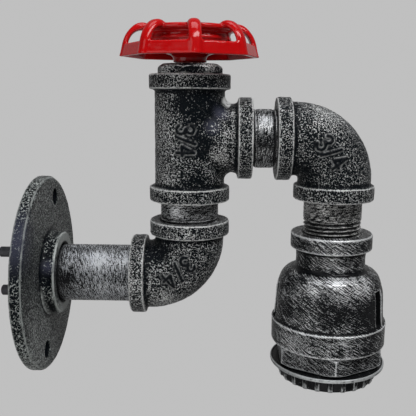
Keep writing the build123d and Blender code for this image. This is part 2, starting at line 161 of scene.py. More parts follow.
def put(me, co):
    me.vertices.foreach_set("co", (co * MM).astype(np.float32).ravel())
    me.update()


def vertex_normals(me):
    no = np.empty(len(me.vertices) * 3, np.float32)
    me.vertex_normals.foreach_get("vector", no)
    return no.reshape(-1, 3).astype(float)


class Net:
    """Neighbour sums over a mesh's edges."""

    def __init__(self, e, n):
        self.a, self.b, self.n = e[:, 0], e[:, 1], n
        self.deg = np.maximum(np.bincount(self.a, minlength=n) + np.bincount(self.b, minlength=n), 1)

    def mean(self, v):
        if v.ndim == 1:
            return (np.bincount(self.a, v[self.b], self.n) + np.bincount(self.b, v[self.a], self.n)) / self.deg
        return np.stack([self.mean(v[:, k]) for k in range(v.shape[1])], 1)

    def relax(self, co, times, lam=0.55, mu=-0.57):
        for _ in range(times):
            co = co + lam * (self.mean(co) - co)
            co = co + mu * (self.mean(co) - co)
        return co

    def blur(self, v, times):
        for _ in range(times):
            v = 0.5 * v + 0.5 * self.mean(v)
        return v


def noise(p, seed=0):
    """Smooth gradient noise, about -1 to 1, of points in cells."""
    i = np.floor(p).astype(np.int64)
    f = p - i
    u = f * f * f * (f * (f * 6 - 15) + 10)
    total = 0
    for dx in (0, 1):
        for dy in (0, 1):
            for dz in (0, 1):
                h = (i[:, 0] + dx) * 374761393 + (i[:, 1] + dy) * 668265263 + (i[:, 2] + dz) * 2147483647 + seed * 974634777
                h = (h ^ (h >> 13)) * 1274126177
                h = (h ^ (h >> 16)) & 0xFFFFFFFF
                a = (h & 0xFFFF) / 65535.0 * 2 * math.pi
                z = ((h >> 16) & 0xFFFF) / 65535.0 * 2 - 1
                r = np.sqrt(1 - z * z)
                g = (f[:, 0] - dx) * r * np.cos(a) + (f[:, 1] - dy) * r * np.sin(a) + (f[:, 2] - dz) * z
                w = (u[:, 0] if dx else 1 - u[:, 0]) * (u[:, 1] if dy else 1 - u[:, 1]) * (u[:, 2] if dz else 1 - u[:, 2])
                total = total + w * g
    return total * 1.6


def join_meshes(meshes, name):
    bm = bmesh.new()
    for m in meshes:
        bm.from_mesh(m)
    me = bpy.data.meshes.new(name)
    bm.to_mesh(me)
    bm.free()
    return me


def voxel_mesh(me, voxel):
    """The closed skin of a mesh, remade in even quads of `voxel` millimetres."""
    o = bpy.data.objects.new("tmp", me)
    scene.collection.objects.link(o)
    m = o.modifiers.new("r", "REMESH")
    m.mode, m.voxel_size, m.use_smooth_shade = "VOXEL", voxel * MM, True
    dg = bpy.context.evaluated_depsgraph_get()
    dg.update()
    new = bpy.data.meshes.new_from_object(o.evaluated_get(dg))
    bpy.data.objects.remove(o)
    return new


def store(me, name, v):
    a = me.attributes.new(name, "FLOAT", "POINT")
    a.data.foreach_set("value", v.astype(np.float32))


def edge_values(me, net, co, voxel, width=2):
    """edge: 1 on convex corners; pit: 1 in concave ones."""
    no = vertex_normals(me)
    s = net.blur(co, 1)
    lap = np.einsum("ij,ij->i", net.mean(net.blur(s, width)) - s, no) / voxel
    fine, wide = net.blur(lap, 1), net.blur(lap, 4)
    return np.clip(-fine * 6.5, 0, 1), np.clip(wide * 9, 0, 1)


def seat(me, name, body, slot, material, *stands_for, smooth=True):
    me.name = name
    me.materials.clear()
    me.materials.append(material)
    if smooth:
        me.polygons.foreach_set("use_smooth", [True] * len(me.polygons))
    for p in me.polygons:
        if p.material_index:
            p.material_index = 0
    o = bpy.data.objects.new(name, me)
    scene.collection.objects.link(o)
    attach(o, body)
    if stands_for:
        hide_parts(*stands_for)
    return o


def beads(points, radius):
    """A chain of small balls, later fused with the casting they sit on."""
    bm = bmesh.new()
    for p in points:
        bmesh.ops.create_icosphere(bm, subdivisions=2, radius=radius * MM, matrix=Matrix.Translation(Vector(p) * MM))
    me = bpy.data.meshes.new("beads")
    bm.to_mesh(me)
    bm.free()
    return me


THREE = [[(-1.6, 2.6), (-0.9, 3.5), (0.3, 3.8), (1.4, 3.2), (1.6, 2.0), (0.9, 0.9), (-0.3, 0.3)],
         [(-0.3, 0.3), (1.1, -0.3), (1.9, -1.5), (1.6, -3.0), (0.4, -3.8), (-0.9, -3.6), (-1.8, -2.6)]]
FOUR = [[(0.9, -3.8), (0.9, 3.8), (-2.0, -1.4), (2.2, -1.4)]]
STROKE = [[(-1.6, -4.2), (1.6, 4.2)]]


def numerals(node, centre, turn, pitch, scale=1.0, lift=0.22, radius=0.52):
    """Raised 3/4, the pipe size, on the side of a fitting that faces -Y: points along its strokes."""
    bvh = BVHTree.FromPolygons([v.co.copy() for v in nodes[node].data.vertices],
                               [tuple(p.vertices) for p in nodes[node].data.polygons])
    a = math.radians(turn)
    ux, uz = math.cos(a), math.sin(a)
    pts = []
    for k, glyph in ((-1, THREE), (0, STROKE), (1, FOUR)):
        for line in glyph:
            for (ax, ay), (bx, by) in zip(line, line[1:]):
                n = max(2, int(math.hypot(bx - ax, by - ay) * scale / 0.3))
                for i in range(n + 1):
                    s, t = (ax + (bx - ax) * i / n) * scale + k * pitch, (ay + (by - ay) * i / n) * scale
                    x, z = centre[0] + s * ux - t * uz, centre[1] + s * uz + t * ux
                    hit = bvh.ray_cast(Vector((x * MM, -0.08, z * MM)), Vector((0, 1, 0)))
                    if hit[0] is not None:
                        pts.append(hit[0] / MM + hit[1] * (lift - 0.15))
    return beads(pts, radius), np.array([tuple(p) for p in pts])


def near(co, pts, reach):
    """Distance from each vertex to the nearest of some points, where that is under `reach`."""
    d = np.full(len(co), 99.0)
    lo, hi = pts.min(0) - reach, pts.max(0) + reach
    i = np.nonzero(((co > lo) & (co < hi)).all(1))[0]
    for k in range(0, len(i), 2000):
        j = i[k:k + 2000]
        d[j] = np.sqrt(((co[j][:, None] - pts[None]) ** 2).sum(2)).min(1)
    return d


# ------------------------------------------------------------------ materials
class Mat:
    """Small helper that chains shader nodes."""

    def __init__(self, name):
        self.m = bpy.data.materials.new(name)
        self.m.use_nodes = True
        self.nt = self.m.node_tree
        self.nt.nodes.clear()
        self.out = self.n("ShaderNodeOutputMaterial")
        self.b = self.n("ShaderNodeBsdfPrincipled")
        self.l(self.b.outputs[0], self.out.inputs[0])
        self.tc = self.n("ShaderNodeTexCoord").outputs["Object"]

    def n(self, kind, **kw):
        node = self.nt.nodes.new(kind)
        for k, v in kw.items():
            setattr(node, k, v)
        return node

    def l(self, a, b):
        self.nt.links.new(a, b)

    def put(self, socket, v):
        if isinstance(v, bpy.types.NodeSocket):
            self.l(v, socket)
        else:
            socket.default_value = v

    def math(self, op, a, b=0.0, c=0.0, clamp=False):
        n = self.n("ShaderNodeMath", operation=op, use_clamp=clamp)
        for s, v in zip(n.inputs, (a, b, c)):
            self.put(s, v)
        return n.outputs[0]

    def vmath(self, op, a, b=(0, 0, 0)):
        n = self.n("ShaderNodeVectorMath", operation=op)
        self.put(n.inputs[0], a)
        if op == "SCALE":
            self.put(n.inputs[3], b)
        else:
            self.put(n.inputs[1], b)
        return n.outputs[1] if op in ("LENGTH", "DISTANCE", "DOT_PRODUCT") else n.outputs[0]

    def noise(self, vec, scale, detail=2.0, rough=0.5, distortion=0.0, kind="FBM"):
        n = self.n("ShaderNodeTexNoise")
        n.noise_type = kind
        self.put(n.inputs["Vector"], vec)
        n.inputs["Scale"].default_value = scale
        n.inputs["Detail"].default_value = detail
        n.inputs["Roughness"].default_value = rough
        n.inputs["Distortion"].default_value = distortion
        return n.outputs[0], n.outputs[1]

    def walls(self, vec, scale):
        """1 on the thin walls between rounded cells."""
        n = self.n("ShaderNodeTexVoronoi", feature="DISTANCE_TO_EDGE")
        self.put(n.inputs["Vector"], vec)
        n.inputs["Scale"].default_value = scale
        return self.ramp(n.outputs[0], 0.03, 0.24, 1.0, 0.0)

    def ramp(self, v, lo, hi, a=0.0, b=1.0, smooth=True):
        n = self.n("ShaderNodeMapRange", interpolation_type="SMOOTHSTEP" if smooth else "LINEAR")
        self.put(n.inputs[0], v)
        for i, x in ((1, lo), (2, hi), (3, a), (4, b)):
            self.put(n.inputs[i], x)
        return n.outputs[0]

    def mix(self, f, a, b, kind="MIX"):
        n = self.n("ShaderNodeMix", data_type="RGBA", blend_type=kind)
        self.put(n.inputs[0], f)
        self.put(n.inputs[6], a if isinstance(a, bpy.types.NodeSocket) else (*a, 1))
        self.put(n.inputs[7], b if isinstance(b, bpy.types.NodeSocket) else (*b, 1))
        return n.outputs[2]

    def attr(self, name):
        n = self.n("ShaderNodeAttribute", attribute_name=name, attribute_type="GEOMETRY")
        return n.outputs["Fac"]

    def split(self, v):
        n = self.n("ShaderNodeSeparateXYZ")
        self.l(v, n.inputs[0])
        return n.outputs

    def join(self, x, y, z):
        n = self.n("ShaderNodeCombineXYZ")
        for s, v in zip(n.inputs, (x, y, z)):
            self.put(s, v)
        return n.outputs[0]

    def bump(self, h, strength, distance_mm, normal=None):
        n = self.n("ShaderNodeBump")
        n.inputs["Strength"].default_value = strength
        n.inputs["Distance"].default_value = distance_mm * MM
        self.l(h, n.inputs["Height"])
        if normal is not None:
            self.l(normal, n.inputs["Normal"])
        return n.outputs[0]

    def spot(self, x, y, z, r, soft=1.0):
        """1 within a soft ball about a point, millimetres."""
        d = self.vmath("DISTANCE", self.tc, (x * MM, y * MM, z * MM))
        return self.ramp(d, 0.0, r * MM, 1.0, 0.0)

    def total(self, *vals):
        v = vals[0]
        for w in vals[1:]:
            v = self.math("ADD", v, w)
        return v

    def around(self, axis, px, pz, back=False):
        """(arc length, radius, height) about an axis, metres; its seam lies behind, or in front if back."""
        x, y, z = self.split(self.tc)
        s = -1.0 if back else 1.0
        if axis == "Z":
            a, b, h = self.math("SUBTRACT", x, px * MM), y, z
        else:
            a, b, h = self.math("SUBTRACT", z, pz * MM), y, x
        ang = self.math("ARCTAN2", self.math("MULTIPLY", a, s), self.math("MULTIPLY", b, -s))
        rad = self.math("SQRT", self.math("ADD", self.math("MULTIPLY", a, a), self.math("MULTIPLY", b, b)))
        return ang, rad, h, b


def casting(name, base=0.5, spots=(), grain=1.0, silver=(0.62, 0.63, 0.625), low=0.40, edge=0.16, patch=0.28, line=0.75, painted_sheen=()):
    """Rough black casting: its raised, worm-like grain brushed with silver, its pits black."""
    m = Mat(name)
    warp = m.vmath("SCALE", m.vmath("SUBTRACT", m.noise(m.tc, 700, 1)[1], (0.5, 0.5, 0.5)), 0.0009)
    p = m.vmath("ADD", m.tc, warp)
    g = m.noise(p, 1050 * grain, 0.8, 0.4)[0]
    worm = m.walls(p, 930 * grain)
    h = m.math("ADD", m.math("MULTIPLY", g, 0.65), m.math("MULTIPLY", worm, 0.33))
    area = m.noise(m.tc, 75, 3, 0.6)[0]
    brush = m.total(base, m.math("MULTIPLY", m.math("SUBTRACT", area, 0.5), patch), m.math("MULTIPLY", m.attr("edge"), edge))
    for x, y, z, rr, k in spots:
        brush = m.math("ADD", brush, m.math("MULTIPLY", m.spot(x, y, z, rr), k))
    brush = m.math("SUBTRACT", brush, m.math("MULTIPLY", m.attr("pit"), 0.5))
    brush = m.math("MAXIMUM", m.math("MINIMUM", brush, 1.2), 0.0)
    t = m.math("SUBTRACT", 0.725, m.math("MULTIPLY", brush, 0.33))
    speck = m.ramp(m.math("SUBTRACT", h, t), -0.02, 0.09)
    speck = m.math("MULTIPLY", speck, m.ramp(brush, 0.0, 0.9, low, 1.0, smooth=False))
    rim = m.math("MULTIPLY", m.ramp(m.attr("edge"), 0.68, 1.0), m.ramp(g, 0.36, 0.50, 0.25, line))
    speck = m.math("MULTIPLY", m.math("MAXIMUM", speck, rim), m.math("SUBTRACT", 1.0, m.attr("bare")))
    # The 'bright' attribute adds silver where listed: worn edges round the numerals and on rims, and painted
    # highlights such as the tee's glint.
    speck = m.math("MAXIMUM", speck, m.attr("bright"))
    tone = m.noise(m.tc, 30, 2)[0]
    black = m.mix(tone, (0.0015, 0.0028, 0.0034), (0.0032, 0.0042, 0.0062))
    # Bluish patches mixed into the black at listed spots: painted sheen, a reflection of light on the smooth black
    # paint.
    for x, y, z, rr, k in painted_sheen:
        black = m.mix(m.math("MULTIPLY", m.spot(x, y, z, rr), k), black, (0.050, 0.053, 0.080))
    m.l(m.ramp(speck, 0, 1, 0.04, 0.32, smooth=False), m.b.inputs["Specular IOR Level"])
    m.l(m.mix(speck, black, silver), m.b.inputs["Base Color"])
    m.l(m.math("MULTIPLY", speck, 0.25), m.b.inputs["Metallic"])
    m.l(m.ramp(speck, 0, 1, 0.30, 0.46, smooth=False), m.b.inputs["Roughness"])
    m.b.inputs["Sheen Weight"].default_value = 0.02
    m.b.inputs["Sheen Roughness"].default_value = 0.30
    m.l(m.bump(h, 0.6, 0.36), m.b.inputs["Normal"])
    return m.m


def brushed(name, axis, px=0.0, pz=0.0, slant=0.0, base=0.5, spots=(), silver=(0.44, 0.45, 0.46), edge=0.4,
            along=290, across=3500, low=0.32, patch=0.45, cross=0.30, line=0.62, black=((0.003, 0.0036, 0.0042), (0.008, 0.0082, 0.009)),
            gap=0.21, shine=(0.26, 0.38)):
    """Smooth black iron, dry-brushed with silver in fine strokes that lie at `slant` to the axis' rings."""
    m = Mat(name)
    masks = []
    for back in (False, True):
        ang, rad, h, b = m.around(axis, px, pz, back)
        arc = m.math("MULTIPLY", ang, rad)
        off = 0.03 if back else 0.0
        wob = m.math("MULTIPLY", m.math("SUBTRACT", m.noise(m.join(arc, h, off), 90, 2)[0], 0.5), 0.003)
        layers = []
        for turn, share, stretch in ((slant, 1.0 - cross, along / across), (slant + 52, cross, 1.5 * along / across)):
            c, s = math.cos(math.radians(turn)), math.sin(math.radians(turn))
            u = m.math("ADD", m.math("MULTIPLY", arc, c), m.math("MULTIPLY", h, s))
            v = m.math("ADD", m.math("SUBTRACT", m.math("MULTIPLY", h, c), m.math("MULTIPLY", arc, s)), wob)
            q = m.join(m.math("MULTIPLY", u, stretch), v, off + 0.1 * share)
            layers.append(m.math("MULTIPLY", m.noise(q, across, 2, 0.55)[0], share))
        masks.append(m.math("ADD", *layers))
    side = m.ramp(b, -0.002, 0.002, 0.0, 1.0)
    streak = m.mix(side, masks[0], masks[1])
    grit = m.noise(m.tc, 2000, 1, 0.5)[0]
    h = m.math("ADD", m.math("MULTIPLY", streak, 0.75), m.math("MULTIPLY", grit, 0.25))
    area = m.noise(m.tc, 85, 3, 0.6)[0]
    brush = m.total(base, m.math("MULTIPLY", m.math("SUBTRACT", area, 0.5), patch), m.math("MULTIPLY", m.attr("edge"), edge))
    for x, y, z, r, k in spots:
        brush = m.math("ADD", brush, m.math("MULTIPLY", m.spot(x, y, z, r), k))
    brush = m.math("SUBTRACT", brush, m.math("MULTIPLY", m.attr("pit"), 0.6))
    brush = m.math("MAXIMUM", m.math("MINIMUM", brush, 1.2), 0.0)
    t = m.math("SUBTRACT", 0.62, m.math("MULTIPLY", brush, gap))
    mark = m.ramp(m.math("SUBTRACT", h, t), -0.01, 0.07)
    mark = m.math("MULTIPLY", mark, m.ramp(brush, 0.0, 0.9, low, 1.0, smooth=False))
    rim = m.math("MULTIPLY", m.ramp(m.attr("edge"), 0.45, 0.9), m.ramp(grit, 0.30, 0.50, 0.5, line))
    mark = m.math("MULTIPLY", m.math("MAXIMUM", mark, rim), m.math("SUBTRACT", 1.0, m.attr("bare")))
    # The 'bright' attribute adds silver where listed, and a painted highlight where it brightens the shade ring's
    # front.
    mark = m.math("MAXIMUM", mark, m.attr("bright"))
    tone = m.noise(m.tc, 40, 2)[0]
    m.l(m.ramp(mark, 0, 1, 0.09, 0.42, smooth=False), m.b.inputs["Specular IOR Level"])
    m.b.inputs["Sheen Weight"].default_value = 0.03
    m.b.inputs["Sheen Roughness"].default_value = 0.30
    m.l(m.mix(mark, m.mix(tone, *black), silver), m.b.inputs["Base Color"])
    m.l(m.math("MULTIPLY", mark, 0.35), m.b.inputs["Metallic"])
    m.l(m.ramp(mark, 0, 1, *shine, smooth=False), m.b.inputs["Roughness"])
    m.l(m.bump(h, 0.3, 0.22), m.b.inputs["Normal"])
    return m.m


def enamel(name):
    """Thick glossy red paint on a casting, lighter red on its edges as painted highlight and darker red in its hollows
    as painted shade.
    """
    m = Mat(name)
    tone = m.noise(m.tc, 45, 3, 0.5)[0]
    c = m.mix(tone, (0.31, 0.0016, 0.0022), (0.38, 0.0028, 0.0036))
    # Lighter red on convex edges: a painted highlight along the crests.
    c = m.mix(m.math("MULTIPLY", m.attr("edge"), 0.25), c, (0.58, 0.016, 0.016))
    # Darker red in concave hollows: painted shade.
    c = m.mix(m.math("MULTIPLY", m.attr("pit"), 0.35), c, (0.22, 0.0012, 0.0016))
    m.l(c, m.b.inputs["Base Color"])
    m.b.inputs["Specular IOR Level"].default_value = 0.26
    m.l(m.ramp(m.noise(m.tc, 160, 2)[0], 0.3, 0.7, 0.07, 0.15), m.b.inputs["Roughness"])
    h = m.total(m.math("MULTIPLY", m.noise(m.tc, 110, 2)[0], 0.7), m.math("MULTIPLY", m.noise(m.tc, 380, 2)[0], 0.3))
    m.l(m.bump(h, 0.30, 0.30), m.b.inputs["Normal"])
    return m.m


def plain(name, a, b, rough=(0.4, 0.55), metal=0.0, scale=300, bump=0.2, dist=0.1, wear=None, coat=0.0):
    """Even material with fine mottling, light wear and grain."""
    m = Mat(name)
    f = m.noise(m.tc, scale, 3, 0.55)[0]
    c = m.mix(m.ramp(f, 0.3, 0.7), a, b)
    if wear is not None:
        w = m.ramp(m.noise(m.tc, scale * 2.6, 3, 0.6)[0], 0.56, 0.68)
        c = m.mix(m.math("MULTIPLY", w, 0.8), c, wear)
    m.l(c, m.b.inputs["Base Color"])
    m.b.inputs["Metallic"].default_value = metal
    m.l(m.ramp(m.noise(m.tc, scale * 1.7, 2)[0], 0.3, 0.7, rough[0], rough[1]), m.b.inputs["Roughness"])
    if coat:
        m.b.inputs["Coat Weight"].default_value = coat
    m.l(m.bump(m.noise(m.tc, scale * 3.1, 3, 0.6)[0], bump, dist), m.b.inputs["Normal"])
    return m.m


def turned_metal(name, axis, px, pz, a, b, rough=(0.25, 0.42)):
    """Turned metal with fine rings about its axis."""
    m = Mat(name)
    ang, rad, h, _ = m.around(axis, px, pz)
    q = m.join(m.math("MULTIPLY", ang, 0.0004), rad, h)
    s = m.noise(q, 2600, 2, 0.6)[0]
    m.l(m.mix(m.ramp(s, 0.3, 0.7), a, b), m.b.inputs["Base Color"])
    m.b.inputs["Metallic"].default_value = 1.0
    m.l(m.ramp(s, 0.3, 0.7, rough[0], rough[1]), m.b.inputs["Roughness"])
    m.l(m.bump(s, 0.15, 0.05), m.b.inputs["Normal"])
    return m.m


# ------------------------------------------------------------------ cast pieces
def cast(node, name, body, slot, material, size=None, voxel=0.45, relax=3, lumps=0.10, cell=2.2, pits=0.05, seed=1, soften=0,
         bare=None, bright=None):
    """A node's casting remade as an even skin, with the small unevenness of its surface."""
    me = join_meshes([nodes[node].data] + ([size[0]] if size else []), name)
    me = voxel_mesh(me, voxel)
    co, e = arrays(me)
    net = Net(e, len(co))
    if soften:
        co = net.relax(co, soften, 0.6, -0.5)
    co = net.relax(co, relax)
    put(me, co)
    edge, pit = edge_values(me, net, co, voxel)
    no = vertex_normals(me)
    plainly, outline = np.zeros(len(co)) if bare is None else np.clip(bare(co), 0, 1), np.zeros(len(co))
    if size:
        d = near(co, size[1], 1.6)
        worn = np.clip(0.65 + 1.3 * noise(co / 1.5, seed + 21), 0, 1)
        edge = np.where(d < 1.6, edge * 0.15, edge)
        plainly = np.maximum(plainly, 0.97 * np.clip((0.76 - d) / 0.12, 0, 1))
        outline = 0.32 * worn * np.exp(-((d - 0.96) / 0.22) ** 2)
    store(me, "bare", plainly)
    store(me, "bright", outline if bright is None else np.maximum(outline, np.clip(bright(co), 0, 1)))
    d = lumps * noise(co / cell, seed) + lumps * 0.8 * noise(co / (cell * 3.1), seed + 7) + pits * noise(co / (cell * 0.55), seed + 3)
    co = co + no * d[:, None]
    put(me, co)
    store(me, "edge", edge)
    store(me, "pit", pit)
    return seat(me, name, body, slot, material, node)


def tee_painted_glint(co):
    """A painted glint: light silver along the fillet between the tee's body and the top of its branch, standing for a
    highlight there.
    """
    x, y, z = co[:, 0], co[:, 1], co[:, 2]
    reach = np.sqrt(np.maximum(15.9 ** 2 - y * y, 0)) + 3.0
    cx, cz = X1 + reach, ZT + reach
    d = np.abs(np.hypot(x - cx, z - cz) - 3.0)
    place = (x < cx + 0.2) * (z < cz + 0.2) * np.clip((y + 7.4) / 2.2, 0, 1) * (y < 1)
    return 0.9 * place * np.clip((1.1 - d) / 0.5, 0, 1) * np.clip(0.8 + 1.0 * noise(co / 1.6, 47), 0, 1)


def head_inside(co):
    """1 on the walls of the head's slots and inside it."""
    z = np.array([-40, -31, -20, -10, -5.6, -4.2, -2.7, -1.2, 0.4, 1.95, 3.3, 4.1, 4.5, 13.8, 14.3, 22.0])
    r = np.array([26.7, 26.7, 26.0, 25.15, 24.8, 24.45, 24.05, 23.6, 23.0, 22.1, 20.7, 19.0, 16.2, 16.2, 18.9, 18.9])
    d = np.interp(co[:, 2], z, r) - np.hypot(co[:, 0] - X2, co[:, 1])
    return np.where(co[:, 2] < 3, (d - 0.35) / 0.4, 0)


def ring_bright(co):
    """Silver on the ring's outer rim, brightest towards the front as a painted highlight, and on the foot of each
    tooth.
    """
    x, y, z = co[:, 0] - X2, co[:, 1], co[:, 2]
    r = np.hypot(x, y)
    # front: the rim's silver raised towards the front, a painted highlight.
    front = 0.30 + 0.62 * np.exp(-(np.arctan2(x, -y) / 0.95) ** 2)
    worn = np.clip(1.1 - 1.5 * np.clip(noise(co / 1.1, 45), 0, 1), 0.25, 1)
    rim = np.clip((r - 26.5) / 0.25, 0, 1) * np.clip((z + 42.35) / 0.25, 0, 1) * front * worn
    foot = np.interp(z, [-48.8, -47.6, -43.7], [22.1, 22.65, 22.9])
    tooth = np.clip((r - foot - 0.15) / 0.15, 0, 1) * np.clip((-45.2 - z) / 1.4, 0, 1)
    smear = np.clip(0.6 + 1.2 * noise(co / 1.3, 41), 0, 1)
    return np.maximum(rim, 0.6 * tooth * smear)


def flange_bright(co):
    """Silver on the boss' lip, its face ring and its foot, and on the disc's front edge; the face ring is kept nearly
    bare towards the front as painted shade.
    """
    r, turn = np.hypot(co[:, 1], co[:, 2]), np.arctan2(co[:, 2], -co[:, 1])
    worn = np.clip(0.75 + 0.7 * noise(co / 3.0, 43), 0, 1)
    lip = 0.75 * np.exp(-((r - 18.72) / 0.24) ** 2) * (co[:, 0] > 10.6)
    face = 0.45 * np.clip((18.7 - r) / 0.4, 0, 1) * np.clip((r - 14.6) / 0.4, 0, 1) * (co[:, 0] > 11.0)
    # The face ring's silver is cut away towards the front: painted shade on the side turned from the light.
    face = face * np.clip((np.abs(turn) - 0.75) / 0.5, 0.06, 1)
    foot = 0.8 * np.exp(-((r - 20.2) / 0.4) ** 2) * (co[:, 0] > 5.6) * np.clip(np.minimum(turn + 1.35, -0.05 - turn) / 0.3, 0, 1)
    line = 0.6 * np.exp(-((r - 45.2) / 0.3) ** 2) * (co[:, 0] > 4.6)
    return np.maximum(np.maximum(lip, face), np.maximum(foot, line) * worn)


def flange_bare(co):
    """1 inside the screw holes and in the mouth round the pipe."""
    out = np.zeros(len(co))
    a = math.radians(18.6)
    for s in (1, -1):
        d = np.hypot(co[:, 1] - s * 36.5 * math.sin(a), co[:, 2] - s * 36.5 * math.cos(a))
        out = np.maximum(out, np.where(co[:, 0] < 5.1, (4.4 - d) / 0.3, 0))
    r = np.hypot(co[:, 1], co[:, 2])
    return np.maximum(out, np.where(co[:, 0] > 6, (15.4 - r) / 0.4, 0))


# The tee's and the upper elbow's blue spots are painted sheen: a bluish reflection on the black paint.
tee_mat = casting("cast_tee", base=0.275, grain=1.35, low=0.34, spots=(
    (58, -13, 66, 16, 0.2), (60, -12, 46, 13, 0.15), (76.5, -15, 80.5, 14, -0.6), (77, -15, 62, 9, -0.5), (74, -15, 45, 9, -0.3),
    (90, -15, 67, 7, 0.2), (85, -15, 57, 9, 0.3), (92, -12, 76, 5, 0.35), (71, -18, 91, 14, 0.1)), painted_sheen=((86.5, -12, 77, 5.5, 0.8), (82.5, -14, 70.5, 5.5, 0.5)))
el1_mat = casting("cast_elbow_low", base=0.295, grain=1.28, spots=(
    (70, -16, 22, 7, 0.25), (58, -12, 14, 10, -0.35), (80, -8, -4, 9, -0.2), (62, -13, -11, 10, 0.3), (48, -18, 0, 12, 0.12)))
el2_mat = casting("cast_elbow_high", base=0.25, grain=1.38, spots=(
    (132, -10, 78, 16, 0.25), (146, -8, 76, 12, 0.05), (128, -14, 62, 9, -0.12), (122, -15, 50, 9, -0.3), (142, -14, 42, 9, 0.15)),
    painted_sheen=((147, -8, 76, 10, 0.25),))
cast("tee", "tee_casting", "light_body", "cast_black_silver", tee_mat,
     size=numerals("tee", (70.6, 64.6), -90, 4.6), seed=3, bright=tee_painted_glint)
cast("lower_elbow", "lower_elbow_casting", "light_body", "cast_black_silver", el1_mat,
     size=numerals("lower_elbow", (67.6, 5.0), -137, 5.6), seed=5)
cast("upper_elbow", "upper_elbow_casting", "light_body", "cast_black_silver", el2_mat,
     size=numerals("upper_elbow", (134.0, 60.0), -53, 5.2), seed=8)

# The flange's blue spots are painted sheen: a bluish reflection on its rim and boss.
flange_mat = casting("cast_flange", base=0.38, grain=1.02, low=0.30, silver=(0.46, 0.49, 0.475), edge=0.05, line=0.4, spots=(
    (4, -30, -34, 24, 0.18), (0, -45, 20, 30, -0.36), (0, -46, -10, 18, -0.1), (8, -18, 6, 10, -0.3)),
    painted_sheen=((2, -40, 26, 20, 0.6), (9, -17, 7, 5, 0.7)))
cast("wall_flange", "wall_flange_casting", "light_body", "cast_black_silver", flange_mat, voxel=0.5, lumps=0.05, pits=0.03, seed=11,
     bare=flange_bare, bright=flange_bright)

# The spot at (80, -9, 96) adds silver on the plug's right chamfer as a painted glint.
plug_mat = casting("cast_plug", base=0.20, grain=1.2, spots=((60, -12, 95, 9, 0.30), (72, -16, 95.5, 6.5, -0.5), (80, -9, 96, 5.5, 0.65)))
cast("tee_plug", "tee_plug_casting", "light_body", "cast_black_silver", plug_mat, voxel=0.4, relax=3, lumps=0.04, pits=0.02, seed=13)

# The spots at (141, -22, 1), (128, -20, 1) and (151, -18, 0) add silver along the front of the shoulder as a painted
# highlight.
head_mat = brushed("cast_head", "Z", px=X2, slant=-30, base=0.33, patch=0.28, low=0.50, silver=(0.54, 0.55, 0.56), along=170, across=3100, shine=(0.20, 0.29), spots=(
    (141, -22, 1, 13, 0.35), (128, -20, 1, 9, 0.35), (119, -16, -6, 10, 0.12), (151, -18, 0, 9, 0.4), (139, -22, -11, 9, -0.25), (154, -19, -12, 12, -0.25), (126, -20, -16, 10, 0.1), (138, -26, -27, 20, 0.25),
    (118, -18, -26, 16, 0.32), (138, -16, 9, 10, 0.1), (138, -19, 18, 20, 0.25)))
cast("lamp_head", "lamp_head_casting", "light_body", "cast_black_silver", head_mat, voxel=0.38, relax=2, lumps=0.05, pits=0.02, seed=17,
     bare=head_inside)
bush_mat = brushed("cast_bushing", "Z", px=X2, slant=-30, base=0.52, along=170, across=3100, spots=((152, -18, -36, 12, -0.15),))
cast("head_bushing", "head_bushing_casting", "light_body", "cast_black_silver", bush_mat, voxel=0.36, relax=2, lumps=0.03, pits=0.02, seed=19)

wheel_mat = enamel("red_enamel")
cast("handwheel", "handwheel_casting", "wheel_set", "red_enamel", wheel_mat, voxel=0.4, relax=5, soften=10, lumps=0.04, cell=4.0, pits=0.0,
     seed=23)

ring_mat = brushed("shade_ring_paint", "Z", px=X2, slant=0, base=0.06, line=0.85, edge=0.2, silver=(0.42, 0.435, 0.44))
cast("shade_ring", "shade_ring_piece", "light_body", "ring_black_silver", ring_mat, voxel=0.28, relax=2, lumps=0.0, pits=0.01, seed=29,
     bright=ring_bright)


